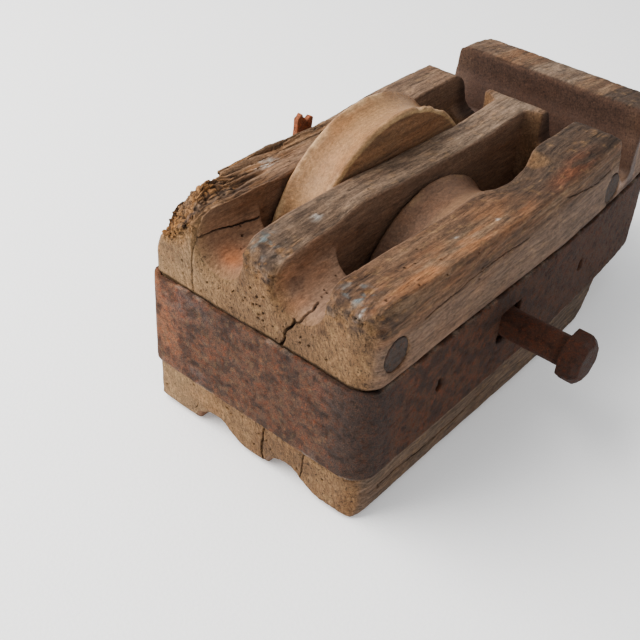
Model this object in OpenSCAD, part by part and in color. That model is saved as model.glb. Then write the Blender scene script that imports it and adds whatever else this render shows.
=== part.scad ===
// Iron-strapped wooden block with two sheaves side by side on one iron pin.
// The origin is on the face that the block lies on, straight below the middle of the pin's axis.
// +X runs along the pin to its head, +Y to the crown and +Z up from that face.

/* [Shell] */
// Height of the wooden shell over the humps of its cheeks
shell_h = 190; // [184:1:196]
// Height of the pin's axis above the face that the block lies on
axis_h = 87.5; // [87.5:0.5:91]
// Width over the strap, across the cheeks
block_w = 205; // [200:1:212]
// Distance from the pin to the tail end
tail_l = 177; // [172:1:190]
// Distance from the pin to the crown end
crown_l = 264; // [258:1:280]
// Thickness of the partition between the two slots
partition_w = 29; // [27:0.5:31]
// Width of each slot
slot_w = 42; // [41:0.5:43]
// Distance from the pin to the tail end of each slot
slot_tail_l = 116; // [115:1:122]
// Distance from the pin to the crown end of each slot
slot_crown_l = 140; // [134:1:142]

/* [Strap] */
// Height of the iron strap
strap_h = 81; // [74:1:82]
// Thickness of the iron strap
strap_t = 5; // [4:0.5:6]
// Height of the strap's middle above the pin's axis
strap_mid = -6; // [-8:1:-4]
// Side of the square holes in the strap for the pin
strap_hole = 27.5; // [26.5:0.5:29]

/* [Sheaves] */
// Diameter of the larger sheave, which is loose and stands on its rim
big_sheave_d = 216; // [210:1:216]
// Diameter of the smaller sheave, which runs on the pin
small_sheave_d = 174; // [160:1:174]
// Thickness of both sheaves
sheave_w = 37; // [34:0.5:38]
// Depth of the rope groove in the rims
groove_depth = 7; // [5:0.5:8]
// Diameter of the empty seat in the larger sheave
empty_seat_d = 68; // [68:1:74]
// Outer diameter of the bush in the smaller sheave
bush_d = 42; // [36:1:48]

/* [Pin and key] */
// Diameter of the pin
pin_d = 25; // [24:0.5:26]
// Width of the pin's head across its flats
head_w = 38; // [34:1:42]
// Thickness of the pin's head
head_t = 17; // [14:1:20]
// Length of bare pin between the head and the strap
pin_out = 51; // [30:1:56]
// Width of the tapered key where it goes through the pin
key_w = 14; // [12:0.5:15]
// Height that the key's split end reaches above the pin's axis
key_top = 100; // [80:1:104]

/* [Fastenings] */
// Diameter of the flush heads of the cross rivets
rivet_head_d = 26; // [22:1:28]
// Diameter of the cross rivets' shanks
rivet_d = 12; // [10:0.5:13]
// Diameter of the hole in the crown eye
eye_hole_d = 30; // [26:1:34]

/* [Hidden] */

$fn = 72;
big = 600;
gap = 0.3;
run = 0.07;

base_z = -axis_h;
top_z = shell_h - axis_h;
half_w = block_w / 2;
slot_x = (partition_w + slot_w) / 2;

tail_corner_r = 20;
tail_corner_left_r = 11;
crown_corner_r = 34;
taper_from = 60;
taper_in = 13;
let_in = 2.6;

channel_floor = 67;
channel_r = slot_w / 2;
valley_floor = 47;
crown_channel_w = 28;
bottom_notch = 10;
auger_r = 34;

rivet_tail = [-148, 55];
rivet_crown = [153, 50];
rivet_head_t = 7;
rove_d = 28;
rove_t = 4;

nail_w = 6;
nail_l = 10;
nail_depth = 26;
nail_tail_y = -90;
nail_crown_y = 117;

key_t = 5;
key_slot_l = key_w + 1.6;
key_bottom = -30;
key_lean = -6;
key_end_w = 20;
end_past_key = 14;

eye_t = 18;
eye_out = 34;
eye_outer_d = 58;
eye_shank_d = 22;
eye_shank_l = 46;
eye_pocket_r = 21;
eye_washer_t = 5;

// Every sub-part is drawn about the pin's axis, then lifted onto the face that the block lies on
module lifted() {
    translate([0, 0, axis_h])
        children();
}

// Half of the width over the strap, at distance y from the pin
function half_at(y) = half_w - taper_in * pow(max(0, y - taper_from) / (crown_l - taper_from), 1.4);

// Points on an arc about [cx, cy]
function arc(cx, cy, r, from, to, steps = 8) =
    [for (i = [0 : steps]) let (a = from + (to - from) * i / steps) [cx + r * cos(a), cy + r * sin(a)]];

// Right-hand side of the plan from tail to crown, a depth d inside the strap's outer face,
// for a tail corner of radius r
function plan_side(d, r) = concat(
    arc(half_w - r, r - tail_l, r - d, -90, 0),
    [for (y = [taper_from : 24 : crown_l - crown_corner_r - 10]) [half_at(y) - d, y]],
    arc(half_at(crown_l) + 2 - crown_corner_r, crown_l - crown_corner_r, crown_corner_r - d, 6, 90));

function mirrored(points) = [for (i = [len(points) - 1 : -1 : 0]) [-points[i][0], points[i][1]]];

// Top lines of the two cheeks and of the partition between the slots, as [y, z] points
cheek_top = [
    [-tail_l, top_z - 19], [3 - tail_l, top_z - 12], [10 - tail_l, top_z - 7], [20 - tail_l, top_z - 5],
    [-40, top_z - 9], [50, top_z - 9], [66, top_z - 5], [78, top_z - 1], [90, top_z], [132, top_z]];
partition_top = [
    [-tail_l, top_z - 17], [3 - tail_l, top_z - 10], [10 - tail_l, top_z - 5], [20 - tail_l, top_z - 2.5],
    [-130, top_z - 0.5], [-62, top_z - 1], [-18, top_z - 4], [30, top_z - 6], [84, top_z - 7.5],
    [128, top_z - 4.5], [146, top_z - 4.5]];

// Side outline of the wood before its tops are cut to those lines, as [y, z] points
side_outline = concat(
    [[8 - tail_l, base_z], [1 - tail_l, base_z + 7], [-tail_l, base_z + 14]],
    [[-tail_l, top_z - 12], [10 - tail_l, top_z], [132, top_z]],
    arc(133, top_z - 22, 22, 84, 20, 6),
    [[162, 62]],
    arc(178, valley_floor + 12, 12, 200, 320, 7),
    [[190, 64], [194, 84], [195, top_z - 6]],
    arc(200, top_z - 5, 5, 170, 90, 3),
    arc(crown_l - let_in - 30, top_z - 34, 30, 76, 0, 7),
    arc(crown_l - let_in - 12, -32, 12, 0, -90, 5),
    [[190, -44], [176, -50], [168, -64], [160, -78], [150, base_z + 3], [138, base_z]]);

// Cross-section of the wood with its worn arrises, as [x, z] points
cross_outline = concat(
    arc(half_w - let_in - 16, top_z - 16, 16, 0, 90),
    arc(let_in + 20 - half_w, top_z - 20, 20, 90, 180),
    arc(let_in + 12 - half_w, base_z + 12, 12, 180, 270),
    arc(half_w - let_in - 12, base_z + 12, 12, 270, 360));

module plan_prism(d, h) {
    linear_extrude(h)
        polygon(concat(plan_side(d, tail_corner_r), mirrored(plan_side(d, tail_corner_left_r))));
}

// Everything above a top line, over a width w centred at x
module above(top_line, x, w) {
    high = top_z + 10;
    last = top_line[len(top_line) - 1];
    translate([x - w / 2, 0, 0])
        rotate([90, 0, 90])
            linear_extrude(w)
                polygon(concat(
                    [[-tail_l - 5, high], [-tail_l - 5, top_line[0][1]]],
                    top_line,
                    [[last[0], high]]));
}

// A cylinder along X, centred at x
module x_rod(x, d, l) {
    translate([x - l / 2, 0, 0])
        rotate([0, 90, 0])
            cylinder(d = d, h = l);
}

// One slot, with the hollow ends that an auger leaves
module slot_cut() {
    intersection() {
        translate([-slot_w / 2, -slot_tail_l, -big / 2])
            cube([slot_w, slot_tail_l + slot_crown_l, big]);
        union() {
            translate([-slot_w / 2, auger_r - slot_tail_l, -big / 2])
                cube([slot_w, slot_tail_l + slot_crown_l - 2 * auger_r, big]);
            for (y = [auger_r - slot_tail_l, slot_crown_l - auger_r])
                translate([0, y, -big / 2])
                    cylinder(r = auger_r, h = big);
        }
    }
}

// A round-bottomed trough along Y, open upwards, from y = 0 towards the tail
module trough(w, l) {
    rotate([90, 0, 0])
        cylinder(d = w, h = l);
    translate([-w / 2, -l, 0])
        cube([w, l, big]);
}

// The rope channels that lead from each slot over the tail, and to the crown's valley
module channel_cuts() {
    translate([0, 10 - slot_tail_l, channel_floor + channel_r])
        trough(slot_w, tail_l);
    translate([0, -tail_l + 34, channel_floor + channel_r])
        rotate([9, 0, 0])
            trough(slot_w, tail_l);
    translate([(slot_w - crown_channel_w) / 2, 182, channel_floor - 4 + crown_channel_w / 2])
        trough(crown_channel_w, 60);
    translate([0, 10 - slot_tail_l, base_z + bottom_notch - channel_r])
        rotate([90, 0, 0])
            cylinder(r = channel_r, h = tail_l);
}

// The rotten outer corner of the left cheek, at the tail
module rot_cut() {
    translate([6 - half_w, 26 - tail_l, top_z - 26])
        rotate([28, -40, -24])
            translate([-60, -90, 0])
                cube([120, 130, 60]);
}

module shell() {
    color("#6e5847")
    lifted()
    difference() {
        intersection() {
            translate([0, 0, base_z])
                plan_prism(let_in, shell_h);
            rotate([90, 0, 90])
                translate([0, 0, -half_w])
                    linear_extrude(block_w)
                        polygon(side_outline);
            translate([0, crown_l, 0])
                rotate([90, 0, 0])
                    linear_extrude(tail_l + crown_l)
                        polygon(cross_outline);
        }
        above(partition_top, 0, 2 * slot_x + 2);
        for (side = [-1, 1])
            scale_side(side) {
                above(cheek_top, slot_x + block_w / 2, block_w);
                translate([slot_x, 0, 0]) {
                    slot_cut();
                    channel_cuts();
                }
            }
        rot_cut();
        strap_seat();
        x_rod(0, pin_d + 2 * run, big);
        for (at = [rivet_tail, rivet_crown])
            rivet_seat(at);
        for (side = [-1, 1])
            scale_side(side)
                nail_holes();
        translate([0, crown_l + 1, strap_mid])
            rotate([90, 0, 0])
                cylinder(d = eye_shank_d + 2 * run, h = eye_shank_l + 20);
        translate([0, crown_l - strap_t - eye_shank_l, -big / 2])
            translate([-eye_pocket_r, 0, 0])
                cube([2 * eye_pocket_r, eye_shank_l - 18, big / 2 + strap_mid + eye_pocket_r]);
    }
}

// Mirrors its children to the left for side = -1
module scale_side(side) {
    if (side < 0)
        mirror([1, 0, 0])
            children();
    else
        children();
}

// The shallow rebate that the strap lies in
module strap_seat() {
    h = strap_h + 2 * gap;
    translate([0, 0, strap_mid - h / 2])
        difference() {
            plan_prism(-10, h);
            translate([0, 0, -1])
                plan_prism(strap_t + 0.1, h + 2);
        }
}

module rivet_seat(at) {
    wood_x = half_at(at[0]) - let_in;
    translate([0, at[0], at[1]]) {
        x_rod(0, rivet_d + 2 * run, big);
        x_rod(wood_x, rivet_head_d + 0.4, 2 * rivet_head_t + 0.4);
        x_rod(-wood_x, rove_d + 0.4, 2 * rove_t + 7);
    }
}

module nail_holes() {
    for (y = [nail_tail_y, nail_crown_y])
        translate([half_at(y) - nail_depth, y, strap_mid])
            cube([2 * nail_depth, nail_w, nail_l], center = true);
}

module strap() {
    color("#5d4034")
    lifted()
    translate([0, 0, strap_mid - strap_h / 2])
        difference() {
            plan_prism(0, strap_h);
            translate([0, 0, -1])
                plan_prism(strap_t, strap_h + 2);
            translate([0, 0, strap_h / 2 - strap_mid])
                cube([big, strap_hole, strap_hole], center = true);
            for (y = [nail_tail_y, nail_crown_y])
                translate([0, y, strap_h / 2])
                    cube([big, nail_w, nail_l], center = true);
            translate([0, crown_l + 10, strap_h / 2])
                rotate([90, 0, 0])
                    cylinder(d = eye_shank_d + 2 * run, h = 30);
        }
}

// A sheave with a hollow rim, on the axis X, centred at x = 0
module sheave(d, bore) {
    flange = 3;
    half_groove = sheave_w / 2 - flange;
    groove_r = (half_groove * half_groove + groove_depth * groove_depth) / (2 * groove_depth);
    rotate([0, 90, 0])
        rotate_extrude($fn = 120)
            difference() {
                translate([bore / 2, -sheave_w / 2])
                    square([(d - bore) / 2, sheave_w]);
                translate([d / 2 - groove_depth + groove_r, 0])
                    circle(r = groove_r);
            }
}

module sheave_left() {
    color("#b09a80")
    lifted()
    translate([-slot_x, 0, big_sheave_d / 2 - axis_h + 0.5])
        sheave(big_sheave_d, empty_seat_d);
}

module sheave_right() {
    color("#8d7057")
    lifted()
    translate([slot_x, 0, 0])
        sheave(small_sheave_d, bush_d);
}

module bush() {
    color("#7d6a43")
    lifted()
    translate([slot_x, 0, 0])
        difference() {
            x_rod(0, bush_d, sheave_w);
            x_rod(0, pin_d + 2 * run, sheave_w + 2);
        }
}

module pin() {
    head_x = half_w + pin_out;
    end_x = -half_w - gap - key_t - end_past_key;
    color("#4a2f24")
    lifted() {
        difference() {
            translate([end_x, 0, 0])
                rotate([0, 90, 0])
                    cylinder(d = pin_d, h = head_x - end_x + 1);
            translate([-half_w - gap - key_t / 2, 0, 0])
                cube([key_t + 0.4, key_slot_l, 2 * pin_d], center = true);
        }
        translate([head_x, 0, 0])
            rotate([0, 90, 0])
                rotate([0, 0, 22.5]) {
                    cylinder(d = head_w / cos(22.5), h = head_t - 5, $fn = 8);
                    translate([0, 0, head_t - 5])
                        cylinder(d1 = head_w / cos(22.5), d2 = head_w - 8, h = 5, $fn = 8);
                }
    }
}

// The flat tapered key: its wide upper end is split by a notch and leans towards the tail
module pin_key() {
    half = key_w / 2;
    half_end = key_end_w / 2;
    color("#8a4a2a")
    lifted()
    translate([-half_w - gap - key_t, 0, 0])
        rotate([90, 0, 90])
            linear_extrude(key_t)
                polygon([[2 - half, key_bottom], [half - 2, key_bottom], [half, pin_d / 2 + 2],
                         [key_lean + half_end - 1, key_top - 15], [key_lean + half_end, key_top - 7],
                         [key_lean + half_end - 3, key_top - 5], [key_lean + 2, key_top - 8],
                         [key_lean - 4, key_top], [key_lean - half_end + 1, key_top - 3],
                         [key_lean - half_end, key_top - 20], [-half, pin_d / 2 + 2]]);
}

// A rivet across the block: its flush head is on the right and its end is clenched on the left
module cross_rivet(at) {
    reach = half_at(at[0]) - let_in;
    color("#54443d")
    lifted()
    translate([0, at[0], at[1]]) {
        x_rod(0, rivet_d, 2 * reach - 2);
        x_rod(reach - rivet_head_t / 2, rivet_head_d, rivet_head_t);
    }
}

// The round iron washer that a rivet's end is clenched over
module rove(at) {
    color("#5d4a40")
    lifted()
    translate([let_in - half_at(at[0]) + rove_t / 2 + 1, at[0], at[1]])
        difference() {
            x_rod(0, rove_d, rove_t);
            x_rod(0, rivet_d, rove_t + 2);
        }
}

// Two square nails driven through the strap on one side, with their heads sunk below its face
module strap_nails(side) {
    sunk = 3;
    color("#33241d")
    lifted()
    for (y = [nail_tail_y, nail_crown_y])
        translate([side * (half_at(y) - sunk - nail_depth / 2), y, strap_mid])
            cube([nail_depth, nail_w - 0.4, nail_l - 0.4], center = true);
}

// The forged eye at the crown, with its shank through the strap's end
module crown_eye() {
    color("#5d4034")
    lifted()
    translate([0, crown_l, strap_mid]) {
        difference() {
            union() {
                translate([0, eye_out, 0])
                    rotate([0, 90, 0])
                        translate([0, 0, -eye_t / 2])
                            cylinder(d = eye_outer_d, h = eye_t);
                translate([0, gap, 0])
                    rotate([-90, 0, 0])
                        cylinder(d = 34, h = 12);
            }
            translate([0, eye_out, 0])
                x_rod(0, eye_hole_d, eye_t + 20);
        }
        translate([0, 2, 0])
            rotate([90, 0, 0])
                cylinder(d = eye_shank_d, h = strap_t + eye_shank_l - 12);
    }
}

// The washer inside the crown that the eye's shank is clenched over
module crown_eye_washer() {
    color("#4a3a32")
    lifted()
    translate([0, crown_l - strap_t - 18 - gap, strap_mid])
        rotate([90, 0, 0])
            difference() {
                cylinder(d = 36, h = eye_washer_t);
                translate([0, 0, -1])
                    cylinder(d = eye_shank_d, h = eye_washer_t + 2);
            }
}

shell();
strap();
sheave_left();
sheave_right();
bush();
pin();
pin_key();
cross_rivet(rivet_tail);
cross_rivet(rivet_crown);
rove(rivet_tail);  // rove_tail
rove(rivet_crown);  // rove_crown
strap_nails(-1);  // strap_nails_left
strap_nails(1);  // strap_nails_right
crown_eye();
crown_eye_washer();
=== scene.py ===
import math
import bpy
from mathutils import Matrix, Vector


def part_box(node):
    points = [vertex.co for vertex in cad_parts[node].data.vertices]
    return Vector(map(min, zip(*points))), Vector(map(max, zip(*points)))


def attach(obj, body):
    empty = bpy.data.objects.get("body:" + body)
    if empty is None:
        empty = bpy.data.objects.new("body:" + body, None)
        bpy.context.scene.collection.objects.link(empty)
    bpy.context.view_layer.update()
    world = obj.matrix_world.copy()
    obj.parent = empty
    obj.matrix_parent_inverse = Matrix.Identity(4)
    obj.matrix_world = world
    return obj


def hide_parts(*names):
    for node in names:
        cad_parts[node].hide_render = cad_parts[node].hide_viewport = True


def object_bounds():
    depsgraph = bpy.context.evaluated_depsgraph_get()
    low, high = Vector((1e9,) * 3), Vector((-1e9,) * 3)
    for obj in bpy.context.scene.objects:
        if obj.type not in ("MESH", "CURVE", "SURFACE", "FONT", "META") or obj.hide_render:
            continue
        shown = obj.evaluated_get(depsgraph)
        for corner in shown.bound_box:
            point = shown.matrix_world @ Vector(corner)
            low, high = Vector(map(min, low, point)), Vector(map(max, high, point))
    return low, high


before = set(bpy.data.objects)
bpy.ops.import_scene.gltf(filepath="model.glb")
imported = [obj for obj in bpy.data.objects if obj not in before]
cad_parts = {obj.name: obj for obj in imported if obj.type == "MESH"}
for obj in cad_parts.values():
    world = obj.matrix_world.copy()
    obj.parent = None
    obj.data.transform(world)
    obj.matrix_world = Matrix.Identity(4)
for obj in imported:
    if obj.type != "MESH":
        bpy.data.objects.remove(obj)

from types import SimpleNamespace

import bmesh
import bpy
import numpy as np
from mathutils import Matrix, Vector

MM = 0.001
CAD_LO, CAD_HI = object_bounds()
SHELL_LO, SHELL_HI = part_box("shell")
STRAP_LO, STRAP_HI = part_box("strap")
SLOT_X = abs(sum(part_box("sheave_right")[i].x for i in (0, 1)) / 2)
TAIL_Y = SHELL_LO.y
TOP_Z = SHELL_HI.z
STRAP_TOP = STRAP_HI.z
# The rings and rays of the end grain lean over by this angle
RAY_LEAN = math.radians(20)
# The cheeks lie beyond this distance from the middle
CHEEK_INNER_X = 57 * MM
# The channels' floor at the tail, and how round their lower corners are
CHANNEL_Z = 154.5 * MM
CHANNEL_ROUND = 21 * MM
# The radii of the sheaves' bores
LARGE_BORE_R = 34 * MM
SMALL_BORE_R = 21 * MM
# The tree's pith ran along Y here, outside the block
PITH_X = -500 * MM
PITH_Z = -90 * MM
# Half the distance from one growth ring to the next
HALF_RING = 2.7 * MM
# How many steps the rotten corner breaks down in
TERRACES = 4.2


# ---- Noise and masks -------------------------------------------------------------------------

def ramp(value, start, end):
    """Rises smoothly from 0 at start to 1 at end."""
    t = np.clip((value - start) / (end - start), 0, 1)
    return t * t * (3 - 2 * t)


def bell(value, middle, width):
    """1 at the middle, falling smoothly to 0 at a distance of width on either side."""
    return 1 - ramp(np.abs(value - middle), 0, width)


def noise(co, size, seed):
    """Smooth noise from -1 to 1 at the points co, with cells of the given size along x, y and z."""
    p = co / np.asarray(size, float) + 4096.5
    cell = np.floor(p).astype(np.int64)
    f = p - cell
    f = f * f * (3 - 2 * f)
    total = np.zeros(len(p))
    for corner in range(8):
        step = np.array([corner & 1, corner >> 1 & 1, corner >> 2])
        k = cell + step
        # A hash of the corner's place gives its value, from -1 to 1
        h = (k[:, 0] * 73856093) ^ (k[:, 1] * 19349663) ^ (k[:, 2] * 83492791) ^ (seed * 9176263)
        h = ((h ^ (h >> 13)) * 1274126177) & 0x7FFFFFFF
        h = ((h ^ (h >> 16)) * 1103515245) & 0x7FFFFFFF
        weight = np.where(step, f, 1 - f).prod(1)
        total += weight * (((h >> 8) & 0xFFFF) / 32767.5 - 1)
    return total


def fractal(co, size, seed, octaves=3):
    """Sum of noises, each half the size and strength of the one before, from about -1 to 1."""
    total, scale, gain = 0, 0, 1.0
    for i in range(octaves):
        total = total + gain * noise(co, np.asarray(size, float) / 2 ** i, seed + i)
        scale += gain
        gain /= 2
    return total / scale


def furrows(co, size, seed, sharp=6):
    """1 along the bottoms of narrow furrows, 0 between them."""
    return (1 - np.abs(noise(co, size, seed))) ** sharp


def linear(r, g, b):
    """An sRGB colour of 0 to 255 as linear values."""
    c = np.array([r, g, b]) / 255
    return np.where(c > 0.04045, ((c + 0.055) / 1.055) ** 2.4, c / 12.92)


def mixed(colours, colour, mask):
    """The colours moved towards one colour by the mask."""
    return colours + (colour - colours) * np.clip(mask, 0, 1)[:, None]


# ---- Meshes ----------------------------------------------------------------------------------

def points(ob):
    co = np.empty(len(ob.data.vertices) * 3)
    ob.data.vertices.foreach_get("co", co)
    return co.reshape(-1, 3)


def normals(ob):
    n = np.empty(len(ob.data.vertices) * 3, np.float32)
    ob.data.vertices.foreach_get("normal", n)
    return n.reshape(-1, 3).astype(float)


def set_points(ob, co):
    """Moves the vertices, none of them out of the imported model's box."""
    co = np.clip(co, np.array(CAD_LO), np.array(CAD_HI))
    ob.data.vertices.foreach_set("co", co.astype(np.float32).ravel())
    ob.data.update()


def paint(ob, name, values):
    """Stores a colour, or up to three masks, for each vertex."""
    values = np.asarray(values, float)
    rgba = np.ones((len(values), 4), np.float32)
    rgba[:, : values.shape[1]] = np.clip(values, 0, 1)
    layer = ob.data.color_attributes.new(name, "FLOAT_COLOR", "POINT")
    layer.data.foreach_set("color", rgba.ravel())


def new_object(name, mesh):
    ob = bpy.data.objects.new(name, mesh)
    bpy.context.scene.collection.objects.link(ob)
    return ob


def smooth_shaded(ob):
    ob.data.polygons.foreach_set("use_smooth", np.ones(len(ob.data.polygons), bool))
    ob.data.update()


def worn_copy(name, node, voxel, rounds):
    """A dense copy of a CAD node, its edges rounded by wear."""
    ob = new_object(name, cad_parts[node].data.copy())
    ob.data.materials.clear()
    remesh = ob.modifiers.new("remesh", "REMESH")
    remesh.mode = "VOXEL"
    remesh.voxel_size = voxel
    soften = ob.modifiers.new("soften", "SMOOTH")
    soften.factor = 0.5
    soften.iterations = rounds
    bpy.context.view_layer.update()
    dense = bpy.data.meshes.new_from_object(ob.evaluated_get(bpy.context.evaluated_depsgraph_get()))
    ob.modifiers.clear()
    ob.data = dense
    smooth_shaded(ob)
    return ob


def nearest(co, centres, reach):
    """Distance from each point to the closest centre, at most reach."""
    best = np.full(len(co), reach)
    for c in centres:
        close = np.abs(co - c).max(1) < reach
        best[close] = np.minimum(best[close], np.linalg.norm(co[close] - c, axis=1))
    return best


def refine_near(ob, centres, reach):
    """Splits each face near any of the centres into nine."""
    just_inside = 0.999
    near = nearest(points(ob), centres, reach) < reach * just_inside
    bm = bmesh.new()
    bm.from_mesh(ob.data)
    edges = [e for e in bm.edges if near[e.verts[0].index] and near[e.verts[1].index]]
    bmesh.ops.subdivide_edges(bm, edges=edges, cuts=2, use_grid_fill=True)
    bm.to_mesh(ob.data)
    bm.free()
    smooth_shaded(ob)


def lathe(name, outline, centre, segments=288):
    """A closed body turned about an axis along X; outline holds its (x, radius) points in order."""
    outline = np.array(outline)
    angles = np.linspace(0, 2 * math.pi, segments, endpoint=False)
    n = len(outline)
    co = np.empty((segments, n, 3))
    co[:, :, 0] = centre[0] + outline[:, 0]
    co[:, :, 1] = centre[1] + np.outer(np.cos(angles), outline[:, 1])
    co[:, :, 2] = centre[2] + np.outer(np.sin(angles), outline[:, 1])
    at = np.arange(segments * n).reshape(segments, n)
    right, below = np.roll(at, -1, 1), np.roll(at, -1, 0)
    faces = np.stack([at, right, np.roll(below, -1, 1), below], -1).reshape(-1, 4)
    mesh = bpy.data.meshes.new(name)
    mesh.from_pydata(co.reshape(-1, 3).tolist(), [], faces.tolist())
    mesh.update()
    ob = new_object(name, mesh)
    smooth_shaded(ob)
    return ob


def resampled(corners, step):
    """Points about a step apart along a closed outline."""
    corners = np.array(corners)
    out = []
    for a, b in zip(corners, np.roll(corners, -1, 0)):
        count = max(1, int(round(np.linalg.norm(b - a) / step)))
        out += [a + (b - a) * i / count for i in range(count)]
    return out


# ---- Materials -------------------------------------------------------------------------------

class Nodes:
    """A material's node tree, built by short calls."""

    def __init__(self, name):
        self.material = bpy.data.materials.new(name)
        self.material.use_nodes = True
        self.tree = self.material.node_tree
        self.shader = self.tree.nodes["Principled BSDF"]
        self.coords = self.tree.nodes.new("ShaderNodeTexCoord").outputs["Object"]

    def put(self, socket, value):
        if isinstance(value, bpy.types.NodeSocket):
            self.tree.links.new(value, socket)
        elif isinstance(value, (int, float)) or not hasattr(socket.default_value, "__len__"):
            socket.default_value = value
        else:
            value = tuple(value)
            socket.default_value = value + (1,) * (len(socket.default_value) - len(value))

    def stretched(self, scale, lean=0.0):
        """Object coordinates, leaned about Y and then scaled."""
        leaned = self.tree.nodes.new("ShaderNodeVectorRotate")
        leaned.rotation_type = "Y_AXIS"
        leaned.inputs["Angle"].default_value = lean
        self.put(leaned.inputs["Vector"], self.coords)
        node = self.tree.nodes.new("ShaderNodeMapping")
        node.inputs["Scale"].default_value = scale
        self.put(node.inputs["Vector"], leaned.outputs["Vector"])
        return node.outputs["Vector"]

    def noise(self, scale, detail=4, rough=0.6, distortion=0.0, lean=0.0):
        """Noise with the given number of cells in a metre along x, y and z."""
        node = self.tree.nodes.new("ShaderNodeTexNoise")
        self.put(node.inputs["Vector"], self.stretched(scale, lean))
        node.inputs["Scale"].default_value = 1
        node.inputs["Detail"].default_value = detail
        node.inputs["Roughness"].default_value = rough
        node.inputs["Distortion"].default_value = distortion
        return node.outputs["Fac"]

    def attribute(self, name):
        node = self.tree.nodes.new("ShaderNodeAttribute")
        node.attribute_name = name
        return node.outputs["Color"]

    def channels(self, colour):
        node = self.tree.nodes.new("ShaderNodeSeparateColor")
        self.put(node.inputs[0], colour)
        return node.outputs

    def math(self, operation, a, b=0.0):
        node = self.tree.nodes.new("ShaderNodeMath")
        node.operation = operation
        self.put(node.inputs[0], a)
        self.put(node.inputs[1], b)
        return node.outputs[0]

    def span(self, value, low, high, to_low=0.0, to_high=1.0):
        """The value moved from low..high to to_low..to_high, and held inside it."""
        node = self.tree.nodes.new("ShaderNodeMapRange")
        for socket, v in zip(node.inputs, (value, low, high, to_low, to_high)):
            self.put(socket, v)
        return node.outputs[0]

    def mix(self, a, b, factor, how="MIX"):
        node = self.tree.nodes.new("ShaderNodeMix")
        node.data_type = "RGBA"
        node.blend_type = how
        self.put(node.inputs["Factor"], factor)
        # Inputs 6 and 7 and output 2 are the node's colours
        self.put(node.inputs[6], a)
        self.put(node.inputs[7], b)
        return node.outputs[2]

    def grey(self, value):
        """A value as a grey colour."""
        node = self.tree.nodes.new("ShaderNodeCombineColor")
        for socket in node.inputs:
            self.put(socket, value)
        return node.outputs[0]

    def shaded(self, colour, value):
        """The colour times a value."""
        return self.mix(colour, self.grey(value), 1.0, "MULTIPLY")

    def finish(self, colour, roughness, bump, depth, specular=0.3, metallic=0.0):
        self.put(self.shader.inputs["Base Color"], colour)
        self.put(self.shader.inputs["Roughness"], roughness)
        self.shader.inputs["Specular IOR Level"].default_value = specular
        self.shader.inputs["Metallic"].default_value = metallic
        node = self.tree.nodes.new("ShaderNodeBump")
        node.inputs["Strength"].default_value = 1.0
        node.inputs["Distance"].default_value = depth
        self.put(node.inputs["Height"], bump)
        self.put(self.shader.inputs["Normal"], node.outputs[0])
        return self.material


def wood_material(name, fibre_scale, contrast, rough):
    """Old wood. "tint" is its colour, and "marks" holds end grain, polish, and dirt with painted shade.
    """
    m = Nodes(name)
    end, polish, dirt_and_shade = m.channels(m.attribute("marks"))[:3]
    fibre = m.noise(fibre_scale, 6, 0.72, 0.25)
    pores = m.noise((760, 400, 190), 6, 0.80, 0.1, RAY_LEAN)
    speckle = m.noise((780, 260, 780), 3, 0.75)
    pits = m.noise((640, 500, 520), 2, 0.6, 0.0, RAY_LEAN)
    mottle = m.noise((70, 14, 70), 6, 0.7, 0.4)
    blotch = m.noise((30, 9, 30), 5, 0.65)
    grain = m.channels(m.mix(m.grey(fibre), m.grey(pores), end))[0]
    rawness = m.span(polish, 0.0, 1.0, 1.0, 0.4)
    swing = m.math("MULTIPLY", m.span(grain, 0.34, 0.66, -contrast, contrast), rawness)
    colour = m.shaded(m.attribute("tint"), m.math("ADD", swing, 1.0))
    colour = m.shaded(colour, m.span(speckle, 0.3, 0.7, 0.72, 1.30))
    scuffs = m.noise((420, 330, 420), 4, 0.8)
    colour = m.shaded(colour, m.span(scuffs, 0.3, 0.7, 0.72, 1.28))
    stain = m.math("MULTIPLY", m.span(mottle, 0.50, 0.72), m.span(polish, 0.0, 1.0, 0.6, 0.45))
    colour = m.mix(colour, m.mix(colour, (0.55, 0.44, 0.37), 1.0, "MULTIPLY"), stain)
    warm = m.span(blotch, 0.50, 0.70, 0.0, 0.5)
    colour = m.mix(colour, m.mix(colour, (1.10, 0.88, 0.68), 1.0, "MULTIPLY"), warm)
    seams = m.math("MULTIPLY", m.span(grain, 0.39, 0.33), rawness)
    colour = m.shaded(colour, m.span(seams, 0.0, 1.0, 1.0, 0.55))
    dots = m.math("MULTIPLY", m.span(pits, 0.585, 0.645), end)
    colour = m.shaded(colour, m.span(dots, 0.0, 1.0, 1.0, 0.35))
    # Dirt, and painted shade in cracks, holes and furrows, darken the wood towards black
    colour = m.mix(colour, (0.012, 0.008, 0.006), dirt_and_shade)
    roughness = m.span(polish, 0.0, 1.0, rough, rough - 0.3)
    height = m.math("MULTIPLY", m.math("ADD", grain, m.math("MULTIPLY", speckle, 0.35)), rawness)
    return m.finish(colour, roughness, height, 0.0026, 0.2)


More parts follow.
